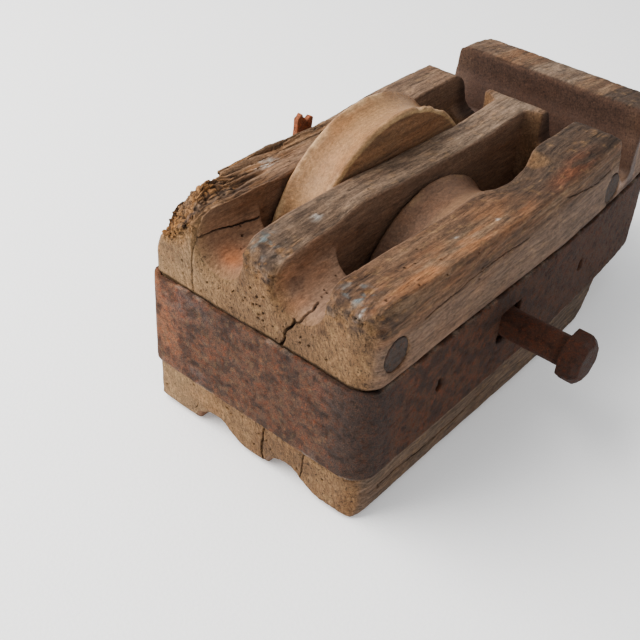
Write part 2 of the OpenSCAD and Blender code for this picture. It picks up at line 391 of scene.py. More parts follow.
def rust_material(name, patch, flake, gloss=0.8, grit=0.5):
    """Rusted iron. "tint" is its colour, patch and flake count cells in a metre, grit is contrast."""
    m = Nodes(name)
    base = m.attribute("tint")
    broad = m.noise((patch,) * 3, 4, 0.65, 0.5)
    middle = m.noise((flake,) * 3, 7, 0.75, 0.2)
    fine = m.noise((flake * 4,) * 3, 4, 0.72)
    crust = m.noise((flake * 0.45,) * 3, 6, 0.7, 0.8)
    colour = m.mix(base, m.mix(base, (0.80, 0.88, 1.00), 1.0, "MULTIPLY"),
                   m.span(broad, 0.50, 0.64, 0.0, 0.7))
    red = m.mix(base, (1.45, 0.88, 0.58), 1.0, "MULTIPLY")
    colour = m.mix(colour, red, m.span(middle, 0.50, 0.64, 0.0, 0.75))
    colour = m.mix(colour, m.mix(base, (0.42, 0.34, 0.32), 1.0, "MULTIPLY"),
                   m.span(crust, 0.54, 0.68, 0.0, 0.5))
    colour = m.shaded(colour, m.span(middle, 0.34, 0.50, 0.50, 1.0))
    colour = m.shaded(colour, m.span(fine, 0.3, 0.7, 1 - 0.9 * grit, 1 + grit))
    specks = m.math("MULTIPLY", m.span(fine, 0.60, 0.68), m.span(middle, 0.50, 0.58))
    colour = m.mix(colour, m.mix(base, (2.7, 2.2, 1.7), 1.0, "MULTIPLY"), specks)
    roughness = m.span(middle, 0.3, 0.7, gloss - 0.15, gloss + 0.1)
    height = m.math("ADD", m.math("MULTIPLY", middle, 0.8), m.math("MULTIPLY", fine, 0.5))
    return m.finish(colour, roughness, height, 0.0026, 0.15)


# ---- The wooden shell ------------------------------------------------------------------------

def zigzag(path, axes, jitter, seed):
    """A ragged line of points 0.8 mm apart through the given (x, y, z) places in millimetres."""
    rng = np.random.default_rng(seed)
    path = np.array(path, float) * MM
    out = []
    for a, b in zip(path, path[1:]):
        count = max(2, int(np.linalg.norm(b - a) / (0.8 * MM)))
        out += [a + (b - a) * i / count for i in range(count)]
    out = np.array(out + [path[-1]])
    wander = np.cumsum(rng.normal(0, jitter, (len(out), 3)), 0)
    wander -= np.outer(np.linspace(0, 1, len(out)), wander[-1])
    for axis in axes:
        out[:, axis] += wander[:, axis]
    return out


def line_distance(co, line, axes, reach):
    """Distance to a line of points seen along the third axis, and how far along it, from 0 to 1."""
    best = np.full(len(co), reach)
    along = np.zeros(len(co))
    lo, hi = line.min(0) - reach, line.max(0) + reach
    near = np.flatnonzero(((co > lo) & (co < hi)).all(1))
    flat = co[near][:, axes]
    for i, (a, b) in enumerate(zip(line[:, axes], line[1:, axes])):
        d = b - a
        t = np.clip(((flat - a) @ d) / max(d @ d, 1e-12), 0, 1)
        r = np.linalg.norm(flat - a - t[:, None] * d, axis=1)
        closer = r < best[near]
        best[near[closer]] = r[closer]
        along[near[closer]] = (i + t[closer]) / (len(line) - 1)
    return best, along


TAIL = TAIL_Y / MM
# Cracks: places in millimetres, the axes of the surface that they cross, half their width and depth
CRACKS = [
    ([(35, TAIL, 154), (33, TAIL, 148), (34, TAIL, 144), (29, TAIL, 138), (29, TAIL, 133),
      (24, TAIL, 121)], (0, 2), 1.0, 9),
    ([(37, -152, 154), (38.5, -159, 153), (37, -165, 151), (37, -170, 149), (33, TAIL, 146)],
     (0, 1), 0.8, 9),
    ([(-56, TAIL, 168), (-55, -150, 166), (-54, -126, 163), (-52, -104, 160)], (1, 2), 0.55, 3),
    ([(-56, TAIL, 170), (-60, TAIL, 150), (-58, TAIL, 124)], (0, 2), 0.5, 4),
    ([(13, TAIL, 42), (12, TAIL, 14), (15, TAIL, 4)], (0, 2), 0.8, 7),
    ([(52, TAIL, 42), (49, TAIL, 14)], (0, 2), 0.5, 3),
    ([(-89, -150, 186), (-86, -98, 186), (-83, -36, 184), (-82, 30, 184)], (0, 1), 0.9, 5),
    ([(-78, -136, 184), (-75, -84, 184), (-76, -50, 184)], (0, 1), 0.7, 4),
    ([(-93, -120, 178), (-92, -60, 180), (-90, 0, 180)], (0, 1), 0.9, 6),
    ([(99, -120, 156), (99, -60, 160), (99, 10, 158)], (1, 2), 0.5, 2),
    ([(99, 60, 170), (99, 105, 162), (99, 140, 160)], (1, 2), 0.5, 2),
    ([(-99, -120, 160), (-99, -40, 166), (-99, 60, 162)], (1, 2), 0.8, 5),
    ([(-99, 30, 24), (-99, 90, 28), (-99, 140, 22)], (1, 2), 0.7, 4),
    ([(99, -150, 24), (99, -90, 20), (99, -20, 25)], (1, 2), 0.6, 3),
    ([(30, 262, 182), (24, 262, 140), (27, 262, 124)], (0, 2), 0.9, 7),
    ([(-52, 262, 176), (-47, 262, 130)], (0, 2), 0.7, 5),
]
# Woodworm: (x, y, z) of a group's middle in millimetres, its spread and how many holes it has
WORM_GROUPS = [
    ((-20, TAIL, 150), (16, 1, 12), 22), ((8, TAIL, 138), (14, 1, 10), 15),
    ((40, TAIL, 136), (16, 1, 12), 10), ((-60, TAIL, 142), (14, 1, 10), 8),
    ((30, TAIL, 22), (34, 1, 10), 8), ((-45, TAIL, 26), (26, 1, 9), 7),
    ((-36, -145, 155), (16, 24, 1), 9), ((34, -140, 155), (13, 22, 1), 8),
    ((80, -110, 183), (10, 34, 3), 8), ((99, -60, 160), (1, 60, 12), 8),
    ((99, -70, 24), (1, 50, 10), 5), ((-99, 0, 150), (1, 90, 18), 16),
    ((-99, 40, 24), (1, 80, 10), 9), ((0, -110, 183), (8, 34, 2), 5),
    ((-76, 10, 183), (10, 60, 3), 8), ((20, 262, 160), (50, 1, 14), 18),
]


def worm_holes(co, seed):
    """Surface points for the woodworm's holes, and their radii."""
    rng = np.random.default_rng(seed)
    centres = []
    for middle, spread, count in WORM_GROUPS:
        places = (np.array(middle) + rng.normal(0, 1, (count, 3)) * spread) * MM
        for place in places:
            centres.append(co[np.argmin(((co - place) ** 2).sum(1))])
    return np.array(centres), rng.uniform(0.65, 1.05, len(centres)) * MM


def reshaped(co):
    """Wear on a larger scale: a leaning tail corner, a steep start to the hump, stepped notches."""
    x, y, z = co.T
    left = ramp(x, -CHEEK_INNER_X, -82 * MM)
    lean = left * ramp(y, -148 * MM, -172 * MM) * ramp(z, 138 * MM, 172 * MM)
    rise = left * bell(y, -140 * MM, 26 * MM) * ramp(z, 142 * MM, 158 * MM)
    dip = ramp(y, -15 * MM, 50 * MM) * ramp(y, 76 * MM, 66 * MM) * ramp(x, 84 * MM, 60 * MM)
    dip = dip * (x > CHEEK_INNER_X - 2 * MM) * ramp(z, 150 * MM, 182 * MM)
    notch = sum(ramp(x, middle - 21 * MM, middle - 18 * MM) * ramp(x, middle + 32 * MM, middle + 8 * MM)
                for middle in (-SLOT_X, SLOT_X))
    notch = notch * ramp(y, -80 * MM, -110 * MM) * ramp(z, 40 * MM, 14 * MM)
    lean_by, rise_by, dip_by, notch_by = 9 * MM, 8 * MM, 9 * MM, 7.5 * MM
    out = co.copy()
    out[:, 0] += lean_by * lean
    out[:, 2] += rise_by * rise - dip_by * dip + notch_by * notch
    return out


def damage_sites(co):
    """The lines of the cracks, the woodworm's holes with their radii, and where finer faces go."""
    holes, radii = worm_holes(co, 7)
    cracks = [(zigzag(path, axes, 0.22 * MM, 40 + i), axes, half * MM, depth * MM)
              for i, (path, axes, half, depth) in enumerate(CRACKS)]
    sites = list(holes)
    for line, axes, half, depth in cracks:
        sites += list(line[::3])
    decayed = (np.hypot(co[:, 0] - SHELL_LO.x, co[:, 2] - TOP_Z) < 46 * MM) & (co[:, 1] < -85 * MM)
    decayed &= (co[:, 0] < -56 * MM) & (co[:, 2] > 150 * MM)
    sites += list(co[decayed][::6])
    return cracks, holes, radii, sites


def shell_zones(co, n):
    """Masks of the shell's surfaces, from their places and normals."""
    x, y, z = co.T
    nx, ny, nz = n.T
    in_slot = bell(np.abs(x), SLOT_X, 27 * MM) > 0.12
    inner = ramp(np.abs(x), 62 * MM, 56 * MM) * ramp(np.abs(nx), 0.3, 0.6)
    outer_side = ramp(np.abs(x), 84 * MM, 90 * MM) * ramp(np.abs(nx), 0.35, 0.75)
    tail_end = ramp(-ny, 0.45, 0.8) * ramp(y, TAIL_Y + 22 * MM, TAIL_Y + 12 * MM)
    crown_end = ramp(ny, 0.45, 0.8) * ramp(y, 0.235, 0.25)
    slot_end = ramp(np.abs(ny), 0.5, 0.8) * (1 - tail_end) * (1 - crown_end)
    end = np.clip(tail_end + crown_end + 0.6 * slot_end, 0, 1)
    on_top = ramp(nz, 0.25, 0.7) * ramp(z, 0.165, 0.172)
    channel = (in_slot & (y < -85 * MM)) * ramp(z, 0.140, 0.150) * ramp(z, 0.182, 0.170)
    channel = channel * ramp(nz, -0.2, 0.3) * (1 - tail_end)
    valley = (ramp(y, 0.160, 0.168) * ramp(y, 0.208, 0.196)
              * ramp(z, 0.125, 0.132) * ramp(z, 0.175, 0.165))
    polish = np.clip(channel + 0.7 * inner + valley, 0, 1)
    side_low = ramp(z, 0.168, 0.148) * outer_side
    polish = np.maximum(polish, 0.4 * side_low * (z > STRAP_LO.z))

    # The rotten, splintered upper corner of the left cheek
    corner = np.hypot(x - SHELL_LO.x, z - TOP_Z)
    rot = ramp(corner, 52 * MM, 30 * MM) * ramp(y, -75 * MM, -115 * MM) * (x < -CHEEK_INNER_X)
    rot = rot * ramp(fractal(co, (0.03, 0.05, 0.03), 5), -0.9, -0.1) * ramp(z, 0.150, 0.158)
    torn = ramp(corner, 34 * MM, 16 * MM) * ramp(y, 60 * MM, 0) * (x < -CHEEK_INNER_X)

    # Where the tops and the rope channels break over the tail
    nose = ramp(y, -0.136, -0.158) * ramp(z, 0.160, 0.170) * (x > -24 * MM) * (1 - channel)
    off_middle = np.abs(x) - SLOT_X
    lip_z = CHANNEL_Z + CHANNEL_ROUND - np.sqrt(np.clip(CHANNEL_ROUND ** 2 - off_middle ** 2, 0, 1))
    lip = ramp(np.hypot(y - TAIL_Y, (z - lip_z) * 0.8), 17 * MM, 0) * (np.abs(off_middle) < 24 * MM)
    # The partition's top slopes to the right near the tail
    slope = ramp(x, -10 * MM, 15 * MM) * ramp(x, 20 * MM, 15 * MM) * ramp(y, -78 * MM, -122 * MM)
    slope = slope * ramp(z, 0.150, 0.186)
    return SimpleNamespace(
        inner=inner, outer_side=outer_side, side_low=side_low, on_top=on_top, tail_end=tail_end,
        crown_end=crown_end, end=end, channel=channel, polish=polish, rot=rot, torn=torn, nose=nose,
        lip=lip, slope=slope, long_grain=(1 - end) * (1 - 0.85 * polish))


def shell_grain(co):
    """Patterns in the wood: growth rings, furrows, and how it splinters, crumbles and dents."""
    x, y, z = co.T
    rings = np.hypot(x - PITH_X, z - PITH_Z) + 2.0 * MM * noise(co, (0.03, 0.05, 0.03), 35)
    ring_wave = np.sin(rings / HALF_RING * math.pi)
    # Splinters are thin layers that lean, and break off in steps along the grain
    lean = co @ np.array([[1, 0, 0.25], [0, 1, 0], [0.12, 0.05, 1]])
    steps = fractal(lean, (4.2 * MM, 62 * MM, 3.6 * MM), 61, 3) * TERRACES
    return SimpleNamespace(
        ring_wave=ring_wave * ramp(noise(co, (0.04, 0.1, 0.05), 37), -0.6, 0.4),
        coarse=furrows(co, (4.5 * MM, 75 * MM, 4.5 * MM), 21),
        terrace=(np.floor(steps) + ramp(steps - np.floor(steps), 0.86, 1.0)) / TERRACES,
        shreds=furrows(lean, (1.7 * MM, 40 * MM, 1.7 * MM), 69, 2),
        slivers=furrows(lean, (3.4 * MM, 55 * MM, 3.4 * MM), 65, 4),
        crumbs=furrows(co, (2.2 * MM, 6 * MM, 2.0 * MM), 67, 3),
        crumbly=ramp(y, -105 * MM, -140 * MM),
        dents=fractal(co, (5 * MM, 8 * MM, 4 * MM), 97, 3))


def weathered(co, n, zone, grain):
    """The shell's points with the surface furrowed, splintered, bruised and rubbed by rope."""
    x, z = co[:, 0], co[:, 2]
    swell = fractal(co, (0.045, 0.11, 0.045), 11, 2)
    fine = furrows(co, (2.4 * MM, 34 * MM, 2.4 * MM), 27, 4)
    push = 0.9 * MM * swell * (1 - 0.7 * zone.inner)
    push -= zone.long_grain * (0.40 * MM * grain.coarse + 0.25 * MM * fine)
    push += 0.35 * MM * fractal(co, (7 * MM, 10 * MM, 7 * MM), 33) * (1 - zone.polish)
    push -= zone.end * (0.10 * MM * grain.ring_wave + 0.22 * MM)
    # Wood swells over the strap's upper edge, and its arrises are bruised
    over = ramp(z, STRAP_TOP - 1 * MM, STRAP_TOP + 4 * MM)
    over = over * ramp(z, STRAP_TOP + 34 * MM, STRAP_TOP + 6 * MM)
    push += 1.5 * MM * over * zone.outer_side * ramp(x, 0, 1 * MM)
    bruise = ramp(fractal(co, (0.014, 0.02, 0.014), 51), 0.12, 0.6)
    arris = ramp(np.abs(n).max(1), 0.93, 0.75)
    push -= 1.7 * MM * bruise * arris * (1 - zone.polish)
    # The left cheek's top is splintered, and crumbles towards the tail
    push -= zone.rot * (1.0 * MM + 3.4 * MM * grain.terrace + 2.6 * MM * grain.slivers
                        + 1.3 * MM * grain.shreds + 2.0 * MM * grain.crumbs * grain.crumbly)
    push -= zone.torn * (1 - zone.rot) * (0.8 * MM + 2.6 * MM * grain.terrace
                                          + 2.2 * MM * grain.slivers + 0.6 * MM * grain.shreds)
    # The tops are bruised and chipped where they meet the tail
    push -= zone.nose * (0.3 * MM + 1.5 * MM * ramp(grain.dents, 0.0, 0.4))
    co = co + n * push[:, None]
    co[:, 2] -= 6.5 * MM * zone.slope
    # The rope has rounded the channels' lips over the tail
    co[:, 1] += 3.6 * MM * zone.lip
    co[:, 2] -= 3.4 * MM * zone.lip
    return co


def damaged(co, n, cracks, holes, radii):
    """The points with cracks and holes straight in along the normals, and the painted shade inside each
    one.
    """
    pit = np.zeros(len(co))
    crack_hole_shade = np.zeros(len(co))
    for line, axes, half, depth in cracks:
        away, along = line_distance(co, line, list(axes), 5 * MM)
        facing = ramp(np.abs(n[:, 3 - sum(axes)]), 0.12, 0.35)
        taper = 0.35 + 0.65 * bell(along, 0.4, 0.62)
        inside = ramp(away, half * 1.15, half * 0.55) * facing * (taper > 0.05)
        pit = np.maximum(pit, depth * inside * taper)
        # Painted shade: each crack is painted dark inside
        crack_hole_shade = np.maximum(crack_hole_shade, 0.95 * ramp(away, half * 1.2, half * 0.5) * facing)
    for centre, radius in zip(holes, radii):
        close = np.flatnonzero(np.abs(co - centre).max(1) < 4 * MM)
        r = np.linalg.norm((co[close] - centre), axis=1)
        inside = ramp(r, radius * 1.25, radius * 0.7)
        pit[close] = np.maximum(pit[close], 2.6 * MM * inside)
        # Painted shade: each worm hole is painted dark inside
        crack_hole_shade[close] = np.maximum(crack_hole_shade[close], 0.9 * inside)
    return co - n * pit[:, None], crack_hole_shade


def long_grain_tint(x, y, zone, patch):
    """Brown wood with paler and darker streaks, grey on the partition and dark on the hump."""
    tint = np.tile(linear(98, 72, 52), (len(x), 1))
    tint = mixed(tint, linear(128, 104, 80), ramp(patch.streak, 0.0, 0.5) * 0.55)
    tint = mixed(tint, linear(70, 50, 37), ramp(patch.streak, 0.0, -0.5) * 0.55)
    tint = mixed(tint, linear(92, 75, 61), zone.side_low * 0.85)
    arris_band = bell(np.abs(x), 88 * MM, 22 * MM) * ramp(y, 0.05, -0.03)
    tint = mixed(tint, linear(138, 84, 44),
                 arris_band * ramp(patch.spot, -0.2, 0.3) * (1 - zone.side_low) * 0.65)
    tint = mixed(tint, linear(116, 80, 51), ramp(patch.blotch, 0.05, 0.5) * (1 - zone.side_low) * 0.4)
    grey_top = zone.on_top * ramp(np.abs(x), 26 * MM, 14 * MM)
    tint = mixed(tint, linear(104, 85, 69), grey_top * 0.85)
    tint = mixed(tint, linear(130, 106, 84), grey_top * ramp(patch.streak, 0.0, 0.5) * 0.5)
    # Painted light over greyer wood: the partition's top paler towards the far end, lifting the shade
    # that falls there
    tint = mixed(tint, linear(134, 114, 96), grey_top * ramp(y, 0.0, 0.06) * 0.35)
    tint = mixed(tint, linear(124, 102, 84), zone.on_top * (x < -CHEEK_INNER_X) * 0.4)
    tint = mixed(tint, linear(74, 60, 48), zone.side_low * ramp(y, 0.03, 0.10) * 0.6)
    hump = zone.on_top * (x > 50 * MM) * ramp(y, 0.0, 0.045)
    tint = mixed(tint, linear(64, 51, 41), hump * 0.9)
    tint = mixed(tint, linear(112, 60, 33), hump * bell(x, 93 * MM, 14 * MM) * bell(y, 0.078, 0.052)
                 * ramp(patch.spot, -0.25, 0.15) * 0.6)
    tint = mixed(tint, linear(60, 44, 34),
                 ramp(patch.spot, -0.1, -0.5) * (1 - zone.end) * (1 - 0.7 * zone.side_low) * 0.5)
    tint = mixed(tint, linear(146, 112, 74), ramp(patch.fleck, 0.2, 0.55) * (1 - zone.end) * 0.3)
    return tint


def end_grain_tint(x, z, zone, grain, patch):
    """Ochre end grain with darker rings and patches."""
    tint = np.tile(linear(131, 99, 66), (len(x), 1))
    tint = mixed(tint, linear(96, 70, 46), (0.5 + 0.5 * grain.ring_wave) * 0.5)
    heart = ramp(np.hypot(x - 4 * MM, (z - 0.132) * 1.6), 45 * MM, 10 * MM)
    tint = mixed(tint, linear(104, 78, 54), heart * 0.5)
    tint = mixed(tint, linear(86, 62, 42), ramp(patch.blotch, 0.0, -0.45) * 0.7)
    tint = mixed(tint, linear(154, 122, 82), ramp(patch.spot, 0.1, 0.5) * 0.4)
    tint = mixed(tint, linear(78, 56, 38), ramp(patch.fleck, -0.1, -0.45) * 0.4)
    tint = mixed(tint, linear(88, 64, 44), ramp(patch.cloud, 0.2, 0.8) * 0.6)
    tint = mixed(tint, linear(158, 128, 92), ramp(x, -25 * MM, -50 * MM) * 0.35)
    rim_dirt = zone.tail_end * ramp(z, 0.166, 0.180)
    tint = mixed(tint, linear(104, 78, 54), rim_dirt * 0.6)
    return tint


def rubbed_tint(x, y, zone, patch):
    """Wood that the rope has polished."""
    tint = np.tile(linear(118, 88, 66), (len(x), 1))
    tint = mixed(tint, linear(132, 104, 84), (x > 0) * 0.5)
    tint = mixed(tint, linear(134, 88, 57), ramp(patch.blotch, 0.0, 0.5) * 0.6)
    tint = mixed(tint, linear(96, 73, 58), ramp(patch.spot, 0.0, 0.5) * 0.6)
    tint = mixed(tint, linear(66, 47, 36), ramp(patch.fleck, -0.1, -0.5) * 0.4)
    tint = mixed(tint, linear(108, 84, 67), zone.inner * ramp(y, -0.110, -0.095) * 0.8)
    return tint


def shell_tint(unworn, co, zone, grain):
    """The shell's colour. unworn holds the points as they were before the weathering."""
    x, y, z = unworn.T
    patch = SimpleNamespace(
        blotch=fractal(co, (0.035, 0.06, 0.035), 71),
        streak=fractal(co, (5 * MM, 80 * MM, 5 * MM), 75),
        spot=fractal(co, (8 * MM, 34 * MM, 8 * MM), 79, 4),
        fleck=fractal(co, (3.5 * MM, 6 * MM, 3.5 * MM), 83, 3),
        cloud=noise(co, (26 * MM, 20 * MM, 15 * MM), 87))
    tint = long_grain_tint(x, y, zone, patch)
    end_tint = end_grain_tint(x, z, zone, grain, patch)
    tint = tint + (end_tint - tint) * zone.end[:, None]
    # The bruised edge over the tail: dark dents, grey and raw patches
    tint = mixed(tint, linear(56, 42, 34), zone.nose * ramp(grain.dents, 0.05, -0.35) * 0.8)
    tint = mixed(tint, linear(104, 92, 84), zone.nose * ramp(patch.spot, 0.0, 0.4) * 0.5)
    tint = mixed(tint, linear(150, 106, 62), zone.nose * ramp(patch.fleck, 0.2, 0.5) * 0.45)
    rubbed = np.clip(zone.polish, 0, 1) * (1 - 0.8 * zone.end)
    tint = tint + (rubbed_tint(x, y, zone, patch) - tint) * rubbed[:, None]
    tint = mixed(tint, linear(150, 84, 42), bell(x, -SLOT_X - 2 * MM, 17 * MM) * zone.channel
                 * bell(y, -0.156, 0.020) * 0.6)
    # Painted shade behind the sheaves, and a dark band in the valley that is painted shade over darker
    # wood
    shade_behind_sheaves = ramp(y, 0.136, 0.150) * (1 - zone.crown_end) * (1 - zone.outer_side)
    tint = mixed(tint, linear(56, 39, 30),
                 shade_behind_sheaves * ramp(np.abs(x), 84 * MM, 70 * MM) * (1 - zone.on_top) * 0.9)
    tint = mixed(tint, linear(62, 42, 32), ramp(y, 0.172, 0.190) * ramp(y, 0.200, 0.197) * 0.9)
    # Raw wood shows pale where it is broken; painted shade darkens the gaps between the splinters
    raw = np.clip(zone.rot + 0.5 * zone.torn, 0, 1)
    tint = mixed(tint, linear(132, 104, 78), zone.torn * 0.6)
    tint = mixed(tint, linear(156, 108, 62), raw * ramp(grain.terrace, -0.2, 0.2) * 0.75)
    tint = mixed(tint, linear(166, 116, 62),
                 zone.rot * grain.crumbly * ramp(patch.spot, -0.3, 0.2) * 0.6)
    splinter_gap_shade = np.maximum(np.maximum(grain.slivers, 0.9 * grain.shreds), grain.crumbs * grain.crumbly)
    tint = mixed(tint, linear(40, 27, 19), raw * ramp(splinter_gap_shade, 0.45, 0.85) * 0.85)
    # Blue-green paint left on the tail arrises, and a few white scuffs
    paint_zone = (bell(y, -0.160, 0.016) * ramp(z, 0.172, 0.178)
                  * np.maximum(bell(x, -4 * MM, 14 * MM), bell(x, 73 * MM, 17 * MM)))
    chips = ramp(fractal(co, (5 * MM, 7 * MM, 4 * MM), 91), 0.05, 0.3)
    tint = mixed(tint, linear(104, 120, 122), paint_zone * chips * 0.75)
    specks = ramp(fractal(co, (2 * MM, 7 * MM, 2 * MM), 95), 0.0, 0.3)
    for place, size in (((-77, -78, 182), 15), ((1, -115, 184), 7), ((84, -170, 180), 5),
                        ((78, -60, 184), 5), ((86, -20, 182), 4)):
        r = np.linalg.norm((co - np.array(place) * MM) * [2.2, 1, 1], axis=1)
        tint = mixed(tint, linear(205, 198, 188), ramp(r, size * MM * 1.2, 0) * specks)
    return tint + (end_tint - tint) * (0.65 * zone.lip)[:, None]


def build_shell():
    ob = worn_copy("shell_wood", "shell", 1.5 * MM, 4)
    set_points(ob, reshaped(points(ob)))
    cracks, holes, radii, sites = damage_sites(points(ob))
    refine_near(ob, sites, 4 * MM)
    unworn, n = points(ob), normals(ob)
    zone, grain = shell_zones(unworn, n), shell_grain(unworn)
    co, crack_hole_shade = damaged(weathered(unworn, n, zone, grain), n, cracks, holes, radii)

    # Dirt and painted shade lie in the furrows, and a painted shadow lies along the strap's upper edge
    z = unworn[:, 2]
    grime_and_shade = 0.4 * grain.coarse * zone.long_grain * (1 - 0.6 * zone.side_low) + 0.5 * crack_hole_shade
    # Painted shadow: a dark line along the strap's upper edge, under the overhanging wood
    strap_shadow_line = ramp(z, STRAP_TOP + 3.5 * MM, STRAP_TOP + 0.5 * MM) * ramp(z, STRAP_TOP - 2 * MM, STRAP_TOP)
    grime_and_shade = np.maximum(grime_and_shade, 0.75 * strap_shadow_line * np.maximum(zone.outer_side, zone.end))
    end = np.maximum(zone.end, 0.7 * zone.lip)
    polish = zone.polish * (1 - 0.6 * zone.lip)
    paint(ob, "tint", shell_tint(unworn, co, zone, grain))
    paint(ob, "marks", np.stack([end, polish, np.clip(np.maximum(grime_and_shade, crack_hole_shade), 0, 0.97)], 1))
    set_points(ob, co)
    ob.data.materials.append(wood_material("weathered_wood", (400, 44, 400), 0.55, 0.86))
    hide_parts("shell")
    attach(ob, "block")


# ---- Iron ------------------------------------------------------------------------------------

def pitted(ob, depth, seed, size=4.0):
    """Rust pits and hammered hollows, all of them inwards. Returns the pits, from 0 to 1."""
    co, n = points(ob), normals(ob)
    pits = ramp(fractal(co, (size * MM,) * 3, seed, 3), 0.05, 0.6)
    hollows = ramp(fractal(co, (size * 6 * MM,) * 3, seed + 9, 2), -0.4, 0.8)
    set_points(ob, co - n * (depth * MM * (pits + 0.9 * hollows))[:, None])
    return pits


def build_strap():
    ob = worn_copy("strap_iron", "strap", 1.3 * MM, 3)
    co, n = points(ob), normals(ob)
    rim = ramp(np.abs(n[:, 2]), 0.4, 0.8)
    nibble = np.abs(fractal(co, (0.02, 0.02, 0.5), 101, 3)) * rim
    co[:, 2] -= np.sign(n[:, 2]) * nibble * 2.2 * MM
    set_points(ob, co)
    pits = pitted(ob, 0.5, 111, 3.5)
    co, n = points(ob), normals(ob)
    x, y, z = co.T
    tail = ramp(y, STRAP_LO.y + 30 * MM, STRAP_LO.y + 8 * MM)
    blotch = fractal(co, (0.04, 0.04, 0.03), 121)
    scab = fractal(co, (9 * MM, 9 * MM, 7 * MM), 123, 4)
    flake = fractal(co, (4 * MM, 4 * MM, 4 * MM), 127, 3)
    tint = np.tile(linear(74, 49, 34), (len(co), 1))
    tint = mixed(tint, linear(82, 58, 43), tail * 0.85)
    tint = mixed(tint, linear(136, 90, 62), tail * ramp(x, -40 * MM, -90 * MM) * 0.6)
    tint = mixed(tint, linear(74, 64, 61),
                 tail * ramp(blotch, 0.05, 0.45) * ramp(scab, -0.3, 0.3) * 0.7)
    tint = mixed(tint, linear(96, 52, 31), ramp(flake, 0.0, 0.4) * 0.45)
    tint = mixed(tint, linear(44, 31, 25), ramp(scab, 0.05, -0.3) * 0.7)
    tint = mixed(tint, linear(124, 96, 66), ramp(flake, -0.22, -0.45) * tail * 0.28)
    from_corner = np.hypot(x - STRAP_HI.x, y - STRAP_LO.y)
    tint = mixed(tint, linear(54, 41, 35), ramp(from_corner, 0.045, 0.02) * 0.8)
    tint = mixed(tint, linear(58, 38, 27), ramp(y, -0.08, 0.08) * 0.55)
    # A pale line along the strap's lower edge, fainter along its upper edge: scratched iron and a
    # painted highlight
    edge = np.maximum(bell(z, STRAP_LO.z, 3 * MM), 0.5 * bell(z, STRAP_TOP, 2.5 * MM))
    scratch_and_highlight = edge * ramp(fractal(co, (0.012, 0.012, 0.01), 131), -0.1, 0.4)
    tint = mixed(tint, linear(176, 160, 142), scratch_and_highlight * 0.55)
    tint *= (1 - 0.35 * pits)[:, None]
    paint(ob, "tint", tint)
    ob.data.materials.append(rust_material("strap_rust", 26, 320, grit=0.8))
    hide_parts("strap")
    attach(ob, "block")


def build_iron(name, node, body, voxel, rounds, depth, colour, material):
    """A small forged piece, worn and rusted all over. voxel and the pits' depth are in mm."""
    ob = worn_copy(name, node, voxel * MM, rounds)
    pits = pitted(ob, depth, sum(map(ord, node)), 3)
    co = points(ob)
    tint = np.tile(colour, (len(co), 1))
    tint = mixed(tint, colour * 1.4, ramp(fractal(co, (0.015,) * 3, 141), 0.0, 0.6) * 0.5)
    # Only the pin's head stands this far out
    tint = mixed(tint, colour * 0.55, ramp(co[:, 0], CAD_HI.x - 26 * MM, CAD_HI.x - 20 * MM) * 0.8)
    paint(ob, "tint", tint * (1 - 0.4 * pits)[:, None])
    ob.data.materials.append(material)
    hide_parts(node)
    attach(ob, body)


# ---- Sheaves ---------------------------------------------------------------------------------

def sheave_outline(half, radius, bore):
    """The (x, radius) corners of a sheave's section: face, hollow rim, face and bore."""
    flange, groove = 2.4 * MM, 6.6 * MM
    steps = 24
    rim = [(half - flange - (2 * (half - flange)) * i / steps,
            radius - groove * math.sin(math.pi * i / steps) ** 0.8) for i in range(steps + 1)]
    return ([(-half, bore + 1 * MM), (-half, radius - 3 * MM), (-half + 0.8 * MM, radius - 0.8 * MM)]
            + rim[::-1]
            + [(half - 0.8 * MM, radius - 0.8 * MM), (half, radius - 3 * MM),
               (half, bore + 1 * MM), (half - 1 * MM, bore), (-half + 1 * MM, bore)])


